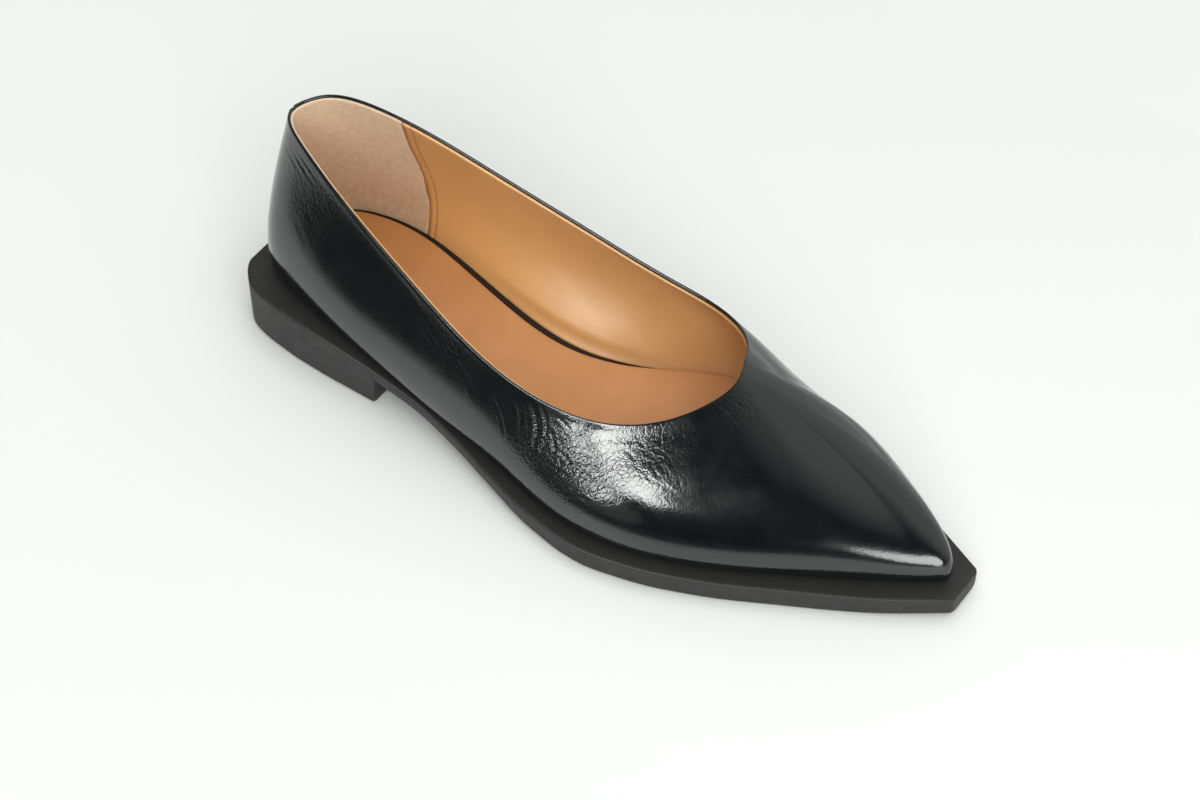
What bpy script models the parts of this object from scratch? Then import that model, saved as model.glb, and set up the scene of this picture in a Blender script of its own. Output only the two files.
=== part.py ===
"""A pointed leather flat for the right foot, standing empty on its moulded rubber sole.

The tables are in millimetres. x runs from the heel's back edge to the snipped toe, y from the line between
heel and toe, negative on the outer side of the foot, and z up from the floor.
"""

import math

import bpy
import numpy as np

MM = 0.001
GAP = 0.3  # clearance between pieces that touch
WALL = 2.0  # leather and lining together
TOPLINE_ROUND = 0.5  # how far the folded topline edge stands above its two faces
INSOLE_THICK = 3.0
INSOLE_SLACK = 0.4  # room between the insole's edge and the lining

SECTION_STEPS = 4  # sections worked out for each row of the upper's table
WALL_STEPS = 12  # points up the upper's wall
FOOT_DENSITY = 1.3  # above 1 the points crowd towards the foot of the wall

SOLE_STEP = 5.0  # spacing of the sole's sections
HEEL_BREAST = 64.5
BREAST_SLANT = 0.8
HEEL_BACK_ROUND = 2.4  # rounding of the heel's bottom edge, along the back
SOLE_DRAFT = 0.6  # how far the walls lean in towards the floor
RIM_ROUND = 0.8
BOTTOM_ROUND = 2.0
ROUND_STEPS = 3
HEEL_BACK_SECTIONS = 4  # sections between the heel's back edge and its chamfered corners

INSOLE_SECTIONS = 44
INSOLE_ENDS = (0.06, 0.97)  # the blunt ends, as shares of a half turn from heel to toe

OUTLINE_SAMPLES = 400  # places where the sole's outline is searched for its widest points
SMOOTH_ANGLE = 35.0  # degrees, sharper edges keep their crease

# Rim of the sole and its heights, one row for each section from heel to toe.
SOLE_COLUMNS = ("x", "outer", "inner", "top", "bottom")
SOLE_SECTIONS = (
    (0.0, -20.0, 20.0, 19.9, 0.0),
    (8.8, -28.6, 28.2, 19.9, 0.0),
    (20.0, -31.9, 31.4, 19.9, 0.0),
    (33.0, -33.9, 32.6, 19.6, 0.0),
    (47.0, -35.0, 31.6, 18.7, 0.0),
    (63.0, -35.7, 28.2, 16.8, 0.0),
    (82.0, -37.2, 23.2, 14.1, 0.0),
    (100.0, -41.0, 20.4, 11.5, 0.0),
    (120.0, -47.2, 22.6, 9.3, 0.0),
    (141.0, -53.4, 31.6, 8.4, 0.0),
    (161.0, -56.3, 39.4, 8.4, 0.0),
    (178.0, -53.8, 41.0, 8.4, 0.0),
    (200.0, -46.7, 38.2, 8.4, 0.0),
    (225.0, -34.9, 29.2, 8.5, 0.0),
    (250.0, -22.2, 18.2, 8.6, 0.4),
    (272.0, -8.6, 7.5, 8.7, 1.5),
)

# Underside of the shank, from the heel breast to where the sole comes down to the floor.
SHANK_COLUMNS = ("x", "bottom")
SHANK_SECTIONS = (
    (HEEL_BREAST, 11.0),
    (82.0, 8.7),
    (96.0, 6.4),
    (108.0, 4.6),
    (120.0, 3.1),
    (132.0, 1.3),
    (150.0, 0.0),
)

# The upper's sections, once round the foot from the heel's back along the outer side to the toe and back
# along the inner side. foot is the edge on the sole, top the topline. A lean is in degrees from upright,
# outwards at the foot and inwards at the top, and a pull is how far the wall follows it.
UPPER_COLUMNS = (
    "foot_x", "foot_y", "top_x", "top_y", "top_z", "foot_lean", "foot_pull", "top_lean", "top_pull",
)
UPPER_SECTIONS = (
    (4.0, 0.5, 6.4, 3.5, 75.8, 14, 20, 12, 18),
    (8.2, -13.2, 10.4, -3.6, 75.3, 14, 20, 14, 18),
    (20.0, -20.6, 24.0, -10.6, 72.6, 14, 19, 14, 18),
    (42.0, -26.7, 45.0, -17.9, 66.0, 13, 17, 14, 16),
    (68.0, -31.1, 74.5, -25.5, 55.5, 13, 15, 14, 14),
    (95.0, -35.5, 103.5, -32.0, 46.3, 13, 14, 15, 12),
    (120.0, -40.2, 130.0, -34.9, 41.6, 13, 14, 20, 11),
    (145.0, -47.0, 152.5, -32.7, 41.2, 12, 16, 34, 12),
    (168.0, -48.3, 168.5, -25.0, 43.3, 10, 18, 48, 14),
    (190.0, -43.0, 178.5, -15.8, 46.8, 9, 18, 58, 16),
    (212.0, -33.3, 183.9, -7.7, 49.9, 10, 20, 63, 20),
    (232.0, -22.9, 185.6, -2.7, 51.7, 14, 22, 65, 28),
    (250.0, -12.9, 185.8, -0.2, 52.5, 18, 21, 66, 34),
    (261.6, -5.6, 185.6, 1.0, 52.8, 19, 20, 66, 38),
    (265.4, -1.6, 185.4, 1.8, 52.9, 19, 20, 66, 38),
    (261.6, 2.2, 185.1, 2.7, 52.9, 21, 21, 66, 38),
    (250.0, 8.8, 184.7, 3.9, 52.8, 22, 23, 66, 35),
    (232.0, 18.3, 184.0, 5.9, 52.6, 18, 24, 65, 30),
    (212.0, 26.7, 182.6, 9.0, 52.1, 12, 21, 63, 23),
    (190.0, 33.0, 179.9, 14.7, 50.2, 9, 18, 58, 17),
    (168.0, 35.1, 171.8, 24.4, 46.3, 12, 18, 44, 14),
    (145.0, 26.6, 156.0, 31.0, 44.4, 24, 17, 26, 12),
    (120.0, 17.2, 133.5, 31.8, 46.2, 38, 17, 10, 12),
    (95.0, 16.6, 106.0, 31.2, 51.5, 38, 18, 6, 14),
    (68.0, 21.7, 75.0, 29.2, 59.2, 28, 18, 7, 16),
    (42.0, 25.6, 44.0, 25.8, 68.2, 20, 18, 9, 18),
    (20.0, 22.6, 19.5, 18.8, 75.4, 15, 20, 10, 18),
    (8.2, 13.6, 9.2, 10.7, 76.2, 14, 20, 11, 18),
)

LEATHER_COLOUR = (0.012, 0.013, 0.014, 1.0)
LEATHER_ROUGHNESS = 0.25
RUBBER_COLOUR = (0.022, 0.022, 0.022, 1.0)
RUBBER_ROUGHNESS = 0.6
SOCK_COLOUR = (0.48, 0.22, 0.09, 1.0)
SOCK_ROUGHNESS = 0.5


def clear_scene():
    for found in list(bpy.data.objects):
        bpy.data.objects.remove(found, do_unlink=True)


def column(columns, rows, name):
    return np.array(rows)[:, columns.index(name)]


def through(stations, values, at):
    """A smooth curve through the stations that never swings past a value, read at the given places."""
    step = np.diff(stations)
    rise = np.diff(values) / step
    slope = np.zeros(len(values))
    same_way = rise[:-1] * rise[1:] > 0
    mean = 2 * rise[:-1] * rise[1:] / np.where(same_way, rise[:-1] + rise[1:], 1)
    slope[1:-1] = np.where(same_way, mean, 0)
    slope[0], slope[-1] = rise[0], rise[-1]
    span = np.clip(np.searchsorted(stations, at) - 1, 0, len(step) - 1)
    share = (at - stations[span]) / step[span]
    turn = share * share * (3 - 2 * share)
    leave = share * (1 - share) ** 2 * step[span] * slope[span]
    arrive = share * share * (share - 1) * step[span] * slope[span + 1]
    return values[span] * (1 - turn) + values[span + 1] * turn + leave + arrive


def closed_curve(rows, steps):
    """A smooth closed curve through the rows, with so many points from each row to the next."""
    here = np.eye(len(rows))
    after = np.roll(rows, -1, axis=0)
    tied = np.roll(here, 1, axis=0) + 4 * here + np.roll(here, -1, axis=0)
    bend = np.linalg.solve(tied, 6 * (after - 2 * rows + np.roll(rows, 1, axis=0)))
    share = np.linspace(0, 1, steps, endpoint=False)[None, :, None]
    back = 1 - share
    straight = back * rows[:, None] + share * after[:, None]
    bowed = (back**3 - back) * bend[:, None] + (share**3 - share) * np.roll(bend, -1, axis=0)[:, None]
    return (straight + bowed / 6).reshape(-1, rows.shape[1])


def sole_value(name, x):
    stations = column(SOLE_COLUMNS, SOLE_SECTIONS, "x")
    return through(stations, column(SOLE_COLUMNS, SOLE_SECTIONS, name), np.asarray(x, float))


def shank_bottom(x):
    stations = column(SHANK_COLUMNS, SHANK_SECTIONS, "x")
    return through(stations, column(SHANK_COLUMNS, SHANK_SECTIONS, "bottom"), np.asarray(x, float))


def bottom_height(x):
    """Height of the underside in front of the heel breast."""
    last = SHANK_SECTIONS[-1][0]
    return shank_bottom(x) if x < last else sole_value("bottom", x)


def frame_shift():
    """Moves the tables' zero to the middle of the sole's outline."""
    x = np.linspace(0, SOLE_SECTIONS[-1][0], OUTLINE_SAMPLES)
    outer, inner = sole_value("outer", x).min(), sole_value("inner", x).max()
    return (-x[-1] / 2 * MM, -(outer + inner) / 2 * MM, 0.0)


def principled(name, colour, roughness):
    made = bpy.data.materials.new(name)
    made.use_nodes = True
    shader = made.node_tree.nodes["Principled BSDF"]
    shader.inputs["Base Color"].default_value = colour
    shader.inputs["Roughness"].default_value = roughness
    shader.inputs["Metallic"].default_value = 0.0
    return made


def add_object(name, points, faces, material, parent):
    mesh = bpy.data.meshes.new(name)
    mesh.from_pydata((np.asarray(points) * MM).tolist(), [], faces)
    mesh.shade_smooth()
    mesh.set_sharp_from_angle(angle=math.radians(SMOOTH_ANGLE))
    mesh.materials.append(material)
    made = bpy.data.objects.new(name, mesh)
    bpy.context.scene.collection.objects.link(made)
    made.parent = parent
    return made


def tube_faces(rings, size):
    """Quads between rings of equal size that close on themselves."""
    faces = []
    for ring in range(rings - 1):
        for i in range(size):
            j = (i + 1) % size
            faces.append((ring * size + i, ring * size + j, (ring + 1) * size + j, (ring + 1) * size + i))
    return faces


def loft(sections):
    """Points and faces of a solid through cross-sections of equal size, closed at both ends."""
    size = len(sections[0])
    points = np.concatenate(sections)
    faces = tube_faces(len(sections), size)
    faces.append(tuple(reversed(range(size))))
    faces.append(tuple(range(len(points) - size, len(points))))
    return points, faces


def rounded(corner, towards_start, towards_end, radius):
    """Points of a rounding at a corner, from the first side to the second."""
    start = corner + radius * towards_start
    end = corner + radius * towards_end
    share = np.linspace(0, 1, ROUND_STEPS + 1)[:, None]
    return (1 - share) ** 2 * start + 2 * share * (1 - share) * corner + share**2 * end


def sole_section(x, bottom, inset=0.0, raised=0.0):
    """One cross-section of the sole: flat top, leaning walls and rounded edges."""
    outer, inner = float(sole_value("outer", x)) + inset, float(sole_value("inner", x)) - inset
    top, floor = float(sole_value("top", x)), bottom + raised
    corners = np.array(
        [[outer, top], [outer + SOLE_DRAFT, floor], [inner - SOLE_DRAFT, floor], [inner, top]]
    )
    radii = (RIM_ROUND, BOTTOM_ROUND, BOTTOM_ROUND, RIM_ROUND)
    ring = []
    for i, radius in enumerate(radii):
        before, after = corners[i - 1] - corners[i], corners[(i + 1) % 4] - corners[i]
        before, after = before / np.linalg.norm(before), after / np.linalg.norm(after)
        ring.append(rounded(corners[i], before, after, radius))
    ring = np.concatenate(ring)
    return np.column_stack([np.full(len(ring), x), ring])


def make_outsole(material, parent):
    """The moulded unit: rim, shank, heel block with its breast, and a little toe spring."""
    length = SOLE_SECTIONS[-1][0]
    heel_corner = SOLE_SECTIONS[1][0]
    heel = np.concatenate([
        np.linspace(HEEL_BACK_ROUND, heel_corner, HEEL_BACK_SECTIONS),
        np.arange(heel_corner + SOLE_STEP, HEEL_BREAST - SOLE_STEP / 2, SOLE_STEP),
        [HEEL_BREAST],
    ])
    front = np.arange(HEEL_BREAST + BREAST_SLANT, length - SOLE_STEP / 2, SOLE_STEP)
    front = np.append(front, length - RIM_ROUND)
    sections = [
        sole_section(0.0, 0.0, RIM_ROUND, HEEL_BACK_ROUND),
        sole_section(RIM_ROUND, 0.0, 0.0, RIM_ROUND),
    ]
    sections += [sole_section(x, 0.0) for x in heel]
    sections += [sole_section(x, float(bottom_height(x))) for x in front]
    sections.append(sole_section(length, float(bottom_height(length)), RIM_ROUND, RIM_ROUND))
    add_object("outsole", *loft(sections), material, parent)


def upper_rows():
    """The upper's sections as a dict of columns, smoothed between the rows of the table."""
    dense = closed_curve(np.array(UPPER_SECTIONS, float), SECTION_STEPS)
    return {name: dense[:, i] for i, name in enumerate(UPPER_COLUMNS)}


def outline_of(rows, edge):
    """The upper's foot or topline in plan."""
    return np.column_stack([rows[edge + "_x"], rows[edge + "_y"]])


def outward(outline):
    """Unit vectors that point out of a closed outline in plan."""
    along = np.roll(outline, -1, axis=0) - np.roll(outline, 1, axis=0)
    across = np.column_stack([along[:, 1], -along[:, 0]])
    return across / np.linalg.norm(across, axis=1)[:, None]


def leaning(plan, degrees):
    """Unit vectors that lean from upright towards the directions in plan."""
    lean = np.radians(degrees)[:, None]
    return np.column_stack([np.sin(lean) * plan, np.cos(lean)])


def wall_grid(rows):
    """Outer face of the upper, as sections of points from the foot to the topline."""
    foot_plan, top_plan = outline_of(rows, "foot"), outline_of(rows, "top")
    foot = np.column_stack([foot_plan, sole_value("top", foot_plan[:, 0]) + GAP])
    top = np.column_stack([top_plan, rows["top_z"]])
    leave = foot + rows["foot_pull"][:, None] * leaning(outward(foot_plan), rows["foot_lean"])
    arrive = top - rows["top_pull"][:, None] * leaning(-outward(top_plan), rows["top_lean"])
    share = np.linspace(0, 1, WALL_STEPS)[None, :, None] ** FOOT_DENSITY
    back = 1 - share
    return (
        back**3 * foot[:, None]
        + 3 * back**2 * share * leave[:, None]
        + 3 * back * share**2 * arrive[:, None]
        + share**3 * top[:, None]
    )


def grid_normals(grid):
    """Unit normals of the wall, pointing out of the shoe."""
    around = np.roll(grid, -1, axis=0) - np.roll(grid, 1, axis=0)
    upwards = np.gradient(grid, axis=1)
    normal = np.cross(around, upwards)
    return normal / np.linalg.norm(normal, axis=2)[:, :, None]


def make_upper(rows, material, parent):
    """One hollow wall, open at the topline and underneath, where the sole closes it."""
    outer = wall_grid(rows)
    normal = grid_normals(outer)
    inner = outer - WALL * normal
    inner[:, 0, 2] = sole_value("top", inner[:, 0, 0]) + GAP
    crest = (outer[:, -1:] + inner[:, -1:]) / 2
    rise = np.gradient(outer, axis=1)[:, -1:]
    crest = crest + TOPLINE_ROUND * rise / np.linalg.norm(rise, axis=2)[:, :, None]
    ring = np.concatenate([outer, crest, inner[:, ::-1]], axis=1)
    sections, size = ring.shape[:2]
    points = ring.reshape(-1, 3)
    faces = []
    for i in range(sections):
        j = (i + 1) % sections
        for k in range(size):
            n = (k + 1) % size
            faces.append((i * size + k, j * size + k, j * size + n, i * size + n))
    add_object("upper", points, faces, material, parent)


def insole_section(x, side):
    """One cross-section of the insole between its outer and inner edge."""
    low = float(sole_value("top", x)) + GAP
    high = low + INSOLE_THICK
    outer, inner = side
    return np.array([[x, outer, high], [x, outer, low], [x, inner, low], [x, inner, high]])


def make_insole(rows, material, parent):
    """The insole with its sock, a board that follows the sole and stays clear of the lining."""
    outline = outline_of(rows, "foot")
    outline = outline - (WALL + GAP + INSOLE_SLACK) * outward(outline)
    heel, toe = outline[:, 0].argmin(), outline[:, 0].argmax()
    outer = outline[heel:toe + 1]
    inner = np.roll(outline, -toe, axis=0)[:len(outline) - toe + heel + 1][::-1]
    ends = np.array([outline[heel, 0], outline[toe, 0]])
    share = (1 - np.cos(np.linspace(*INSOLE_ENDS, INSOLE_SECTIONS) * math.pi)) / 2
    sections = []
    for x in ends[0] + share * (ends[1] - ends[0]):
        side = np.interp(x, outer[:, 0], outer[:, 1]), np.interp(x, inner[:, 0], inner[:, 1])
        sections.append(insole_section(x, side))
    add_object("insole", *loft(sections), material, parent)


def main():
    clear_scene()
    shoe = bpy.data.objects.new("shoe", None)
    bpy.context.scene.collection.objects.link(shoe)
    shoe.location = frame_shift()
    rows = upper_rows()
    make_outsole(principled("black rubber", RUBBER_COLOUR, RUBBER_ROUGHNESS), shoe)
    make_insole(rows, principled("tan sock", SOCK_COLOUR, SOCK_ROUGHNESS), shoe)
    make_upper(rows, principled("black leather", LEATHER_COLOUR, LEATHER_ROUGHNESS), shoe)


main()
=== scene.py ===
"""Looks of the pointed flat: crinkled black leather, tan lining and sock, rubber sole, in a pale studio.

The tables repeat the part's own, in millimetres: x from the heel's back edge to the snipped toe, y from the
line between heel and toe, negative on the outer side, z up. Places on the upper are also given as with a
tape: along is the way round the topline from the throat, positive on the outer side, and down is the way
from the topline to the sole.
"""

import math

import bmesh
import bpy
import numpy as np
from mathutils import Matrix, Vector, noise


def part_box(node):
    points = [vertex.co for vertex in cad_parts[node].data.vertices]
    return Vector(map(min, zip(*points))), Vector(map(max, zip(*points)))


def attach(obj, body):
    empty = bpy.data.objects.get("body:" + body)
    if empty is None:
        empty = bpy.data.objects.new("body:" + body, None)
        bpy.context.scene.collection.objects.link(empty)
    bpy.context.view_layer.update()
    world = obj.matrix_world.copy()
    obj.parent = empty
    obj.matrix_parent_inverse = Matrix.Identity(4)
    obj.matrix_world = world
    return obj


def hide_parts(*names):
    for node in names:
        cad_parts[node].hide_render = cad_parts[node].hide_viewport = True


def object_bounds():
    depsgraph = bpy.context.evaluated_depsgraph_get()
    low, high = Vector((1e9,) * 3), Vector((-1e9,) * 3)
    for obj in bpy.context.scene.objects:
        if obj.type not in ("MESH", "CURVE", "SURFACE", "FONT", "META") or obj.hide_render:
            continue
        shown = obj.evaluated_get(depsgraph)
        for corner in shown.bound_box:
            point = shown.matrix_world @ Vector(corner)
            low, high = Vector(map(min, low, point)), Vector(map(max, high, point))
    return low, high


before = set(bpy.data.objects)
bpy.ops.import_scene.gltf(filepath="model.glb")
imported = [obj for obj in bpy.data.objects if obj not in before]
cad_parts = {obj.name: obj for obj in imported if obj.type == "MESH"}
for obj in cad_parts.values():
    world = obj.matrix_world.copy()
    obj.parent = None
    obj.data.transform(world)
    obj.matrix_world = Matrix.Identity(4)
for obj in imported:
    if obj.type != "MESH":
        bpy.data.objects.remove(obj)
cad_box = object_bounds()

MM = 0.001

# Thicknesses and gaps
GAP = 0.3
WALL = 2.0
LEATHER = 1.0
LINING_TOP_DROP = 0.3  # how far the lining's edge stays below the folded leather
LINING_CREST = 0.3  # rise of its rounded edge, as a share of its thickness
GRIP_DEPTH = 0.25  # how far the suede lies behind the lining's face
BOARD_TOP = 2.5  # heights above the sole's top face
SOCK_TOP = 3.9
BOARD_GAP = 0.1
BOARD_EDGE_ROUND = 0.1
SKIN_GAP = 0.06  # between layers that are glued

# The rubber sole
HEEL_BREAST = 64.5
BREAST_SLANT = 0.8
HEEL_BACK_ROUND = 2.4
HEEL_CORNER = 3.2  # rounding of the heel's upright corners
TOE_CORNER = 1.2
BREAST_ROUND = 1.5
SOLE_DRAFT = 0.6
RIM_ROUND = 1.2
BOTTOM_ROUND = 2.0
SOLE_STEP = 1.6
ROUND_STEPS = 6
EDGE_SUPPORT = 0.35  # a line of points this far from each rounding keeps the flats flat

# Mesh density of the upper, in sections to each row of its table and points up the wall
FINE_ROWS = range(4, 12)
FINE_STEPS = 50
BENT_ROWS = range(17, 25)
BENT_STEPS = 18
PLAIN_STEPS = 14
WALL_STEPS = 106
CREST_STEPS = 6
INNER_STEPS = 14
TAPE_STEPS = 24
LINING_SECTIONS = 300
LINING_STEPS = 40
LINING_FOOT = 0.01  # share of the wall at which lining and grip start
GRIP_SECTIONS = 100
LAYER_BACK_STEP = 8  # the hidden faces keep every so many points
SLAB_UNDER_STEP = 9
INSOLE_STEPS = 20
FOOT_SHARE = 0.25  # the stretch of the wall beside the insole
FOOT_STEPS = 24
OUTLINE_STEPS = 400
SLOPE_STEP = 0.004

SOLE_COLUMNS = ("x", "outer", "inner", "top", "bottom")
SOLE_SECTIONS = (
    (0.0, -20.0, 20.0, 19.9, 0.0),
    (8.8, -28.6, 28.2, 19.9, 0.0),
    (20.0, -31.9, 31.4, 19.9, 0.0),
    (33.0, -33.9, 32.6, 19.6, 0.0),
    (47.0, -35.0, 31.6, 18.7, 0.0),
    (63.0, -35.7, 28.2, 16.8, 0.0),
    (82.0, -37.2, 23.2, 14.1, 0.0),
    (100.0, -41.0, 20.4, 11.5, 0.0),
    (120.0, -47.2, 22.6, 9.3, 0.0),
    (141.0, -53.4, 31.6, 8.4, 0.0),
    (161.0, -56.3, 39.4, 8.4, 0.0),
    (178.0, -53.8, 41.0, 8.4, 0.0),
    (200.0, -46.7, 38.2, 8.4, 0.0),
    (225.0, -34.9, 29.2, 8.5, 0.0),
    (250.0, -22.2, 18.2, 8.6, 0.4),
    (272.0, -8.6, 7.5, 8.7, 1.5),
)

SHANK_COLUMNS = ("x", "bottom")
SHANK_SECTIONS = (
    (HEEL_BREAST, 11.0),
    (82.0, 8.7),
    (96.0, 6.4),
    (108.0, 4.6),
    (120.0, 3.1),
    (132.0, 1.3),
    (150.0, 0.0),
)

UPPER_COLUMNS = (
    "foot_x", "foot_y", "top_x", "top_y", "top_z", "foot_lean", "foot_pull", "top_lean", "top_pull",
)
UPPER_SECTIONS = (
    (4.0, 0.5, 6.4, 3.5, 75.8, 14, 20, 12, 18),
    (8.2, -13.2, 10.4, -3.6, 75.3, 14, 20, 14, 18),
    (20.0, -20.6, 24.0, -10.6, 72.6, 14, 19, 14, 18),
    (42.0, -26.7, 45.0, -17.9, 66.0, 13, 17, 14, 16),
    (68.0, -31.1, 74.5, -25.5, 55.5, 13, 15, 14, 14),
    (95.0, -35.5, 103.5, -32.0, 46.3, 13, 14, 15, 12),
    (120.0, -40.2, 130.0, -34.9, 41.6, 13, 14, 20, 11),
    (145.0, -47.0, 152.5, -32.7, 41.2, 12, 16, 34, 12),
    (168.0, -48.3, 168.5, -25.0, 43.3, 10, 18, 48, 14),
    (190.0, -43.0, 178.5, -15.8, 46.8, 9, 18, 58, 16),
    (212.0, -33.3, 183.9, -7.7, 49.9, 10, 20, 63, 20),
    (232.0, -22.9, 185.6, -2.7, 51.7, 14, 22, 65, 28),
    (250.0, -12.9, 185.8, -0.2, 52.5, 18, 21, 66, 34),
    (261.6, -5.6, 185.6, 1.0, 52.8, 19, 20, 66, 38),
    (265.4, -1.6, 185.4, 1.8, 52.9, 19, 20, 66, 38),
    (261.6, 2.2, 185.1, 2.7, 52.9, 21, 21, 66, 38),
    (250.0, 8.8, 184.7, 3.9, 52.8, 22, 23, 66, 35),
    (232.0, 18.3, 184.0, 5.9, 52.6, 18, 24, 65, 30),
    (212.0, 26.7, 182.6, 9.0, 52.1, 12, 21, 63, 23),
    (190.0, 33.0, 179.9, 14.7, 50.2, 9, 18, 58, 17),
    (168.0, 35.1, 171.8, 24.4, 46.3, 12, 18, 44, 14),
    (145.0, 26.6, 156.0, 31.0, 44.4, 24, 17, 26, 12),
    (120.0, 17.2, 133.5, 31.8, 46.2, 38, 17, 10, 12),
    (95.0, 16.6, 106.0, 31.2, 51.5, 38, 18, 6, 14),
    (68.0, 21.7, 75.0, 29.2, 59.2, 28, 18, 7, 16),
    (42.0, 25.6, 44.0, 25.8, 68.2, 20, 18, 9, 18),
    (20.0, 22.6, 19.5, 18.8, 75.4, 15, 20, 10, 18),
    (8.2, 13.6, 9.2, 10.7, 76.2, 14, 20, 11, 18),
)
THROAT_ROW = 14
ROWS = len(UPPER_SECTIONS)

# Creases of the leather: from one place to another by tape, the sideways bow between, width and depth
CREASE_COLUMNS = ("along", "down", "to_along", "to_down", "bow", "width", "depth")
CREASES = (
    # Folds across the outer quarter, where the foot bends
    (90.0, 8.0, 75.0, 20.0, 1.2, 0.6, 0.09),
    (86.5, 6.0, 75.5, 16.0, 0.8, 0.6, 0.06),
    (80.5, 4.0, 73.5, 13.0, 0.6, 0.8, 0.14),
    (75.7, 1.5, 64.5, 18.5, 1.4, 1.0, 0.24),
    (71.6, 1.0, 65.5, 9.5, 0.5, 0.6, 0.15),
    (66.7, 6.0, 58.0, 17.0, 1.0, 0.7, 0.10),
    # Crinkles over the outer vamp
    (66.7, 1.7, 58.2, 5.5, 0.5, 0.6, 0.06),
    (58.2, 7.6, 53.9, 2.6, 0.4, 0.5, 0.06),
    (60.0, 12.5, 51.0, 17.0, 0.6, 0.6, 0.08),
    (59.1, 18.7, 51.0, 20.6, 0.5, 0.6, 0.08),
    (52.5, 24.6, 50.0, 20.0, 0.3, 0.6, 0.06),
    (53.0, 10.3, 45.0, 13.6, 0.6, 0.6, 0.06),
    (52.2, 15.4, 43.0, 21.4, 0.8, 0.6, 0.08),
    (47.4, 2.4, 42.6, 12.6, 0.5, 0.6, 0.04),
    (47.4, 16.0, 39.5, 21.8, 0.5, 0.6, 0.06),
    (45.0, 13.4, 42.8, 5.2, 0.4, 0.5, 0.03),
    (45.4, 26.0, 41.5, 27.8, 0.3, 0.6, 0.06),
    (42.0, 7.3, 35.0, 13.9, 0.5, 0.6, 0.03),
    (40.6, 26.0, 33.8, 29.8, 0.5, 0.6, 0.02),
    (39.9, 2.6, 34.2, 9.6, 0.4, 0.6, 0.025),
    (38.5, 17.9, 29.5, 24.4, 0.6, 0.6, 0.02),
    (36.4, 13.5, 28.5, 21.0, 0.6, 0.6, 0.02),
    (33.7, 9.8, 23.4, 22.6, 0.9, 0.6, 0.025),
    (31.2, 12.6, 26.8, 18.8, 0.4, 0.5, 0.02),
    (29.3, 10.4, 25.6, 16.0, 0.3, 0.5, 0.02),
    (30.6, 18.8, 20.5, 29.3, 0.8, 0.6, 0.02),
    (24.7, 18.6, 22.3, 24.3, 0.3, 0.5, 0.02),
    # Short radial wrinkles at the throat
    (5.3, 1.4, 3.1, 8.0, 0.2, 0.5, 0.04),
    (9.0, 1.4, 5.6, 9.5, 0.2, 0.5, 0.04),
    (11.8, 1.5, 9.2, 10.7, 0.2, 0.5, 0.04),
    (1.5, 1.6, 1.0, 7.5, 0.2, 0.5, 0.04),
    (-1.6, 1.4, -0.8, 6.0, 0.2, 0.5, 0.04),
    # Soft slack along the outer quarter
    (104.0, 8.0, 92.0, 14.5, 0.8, 1.2, 0.03),
    (125.8, 11.5, 113.5, 13.2, 0.8, 1.1, 0.02),
    (140.9, 12.0, 124.0, 15.6, 1.0, 1.3, 0.03),
    (138.2, 2.4, 117.5, 5.8, 0.6, 1.1, 0.02),
    (189.4, 23.0, 177.5, 29.4, 1.0, 1.3, 0.02),
    (187.8, 15.6, 176.5, 19.8, 0.8, 1.2, 0.02),
    # Puckers under the topline behind the heel
    (204.0, 7.6, 192.0, 8.6, 0.5, 0.8, 0.07),
    (200.0, 5.6, 184.0, 6.6, 0.5, 0.8, 0.07),
    (196.0, 3.4, 182.0, 4.0, 0.3, 0.7, 0.05),
    # The inner side, which bends at the same place
    (-70.0, 2.0, -60.0, 18.0, 1.2, 1.2, 0.15),
    (-78.0, 4.0, -69.0, 17.0, 1.0, 1.0, 0.11),
    (-58.0, 3.0, -49.0, 15.0, 0.8, 0.9, 0.10),
    (-48.0, 6.0, -39.0, 17.0, 0.7, 0.8, 0.08),
    (-39.0, 4.0, -31.0, 15.0, 0.7, 0.8, 0.07),
)
CREASE_POINTS = 18
CREASE_RIDGE = 0.55  # height of the ridges beside a trough, as a share of its depth
CREASE_RIDGE_PLACE = 1.7  # widths from the middle of a trough to its ridges
CREASE_REACH = 3.5  # widths beyond which a crease no longer shows
CREASE_ENDS = (0.04, 0.96)  # shares of its length between which it tapers
CREASE_TAPER = 0.7

# Where the leather is finely crinkled: middle, reach each way and strength
CRINKLE_COLUMNS = ("along", "down", "reach_along", "reach_down", "strength")
CRINKLE_ZONES = (
    (65.0, 14.0, 11.0, 11.0, 0.8),
    (40.0, 12.0, 20.0, 14.0, 0.34),
    (6.0, 5.0, 9.0, 9.0, 0.5),
    (46.0, 24.0, 12.0, 8.0, 0.5),
    (112.0, 7.0, 20.0, 7.0, 0.3),
    (185.0, 10.0, 26.0, 12.0, 0.28),
    (-55.0, 10.0, 30.0, 14.0, 0.6),
)
CRINKLE_CELL = 2.4
CRINKLE_HEIGHT = 0.05
CRINKLE_SEED = 1
CRINKLE_LEVEL = 0.6  # share of a cell's height that keeps the leather's own level
CELL_WANDER = 0.45  # how far the cells are moved, in cells, and how finely
CELL_WANDER_SCALE = 0.8
CELL_STEEPNESS = 3.0
CRACKLE_COLUMNS = ("cell", "width", "depth")  # cell in millimetres, width in cells, depth in metres
CRACKLE = (
    (1.7, 0.15, 0.00006),
    (0.75, 0.22, 0.000025),
)
CRACKLE_STRETCH = (1.0, 0.7, 1.0)
CRACKLE_WANDER = 1.1
CRACKLE_WANDER_SCALE = 0.6
BRUSH_STRETCH = (1.5, 0.16, 1.0)  # waves to the millimetre along and down
BRUSH_DEPTH = 0.00005
SLACK_LENGTH = 26.0  # gentle unevenness of the lasted leather
SLACK_HEIGHT = 0.05
SLACK_START = 6.0  # way down from the topline at which it is full
SLACK_SEED = 3.0

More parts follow.
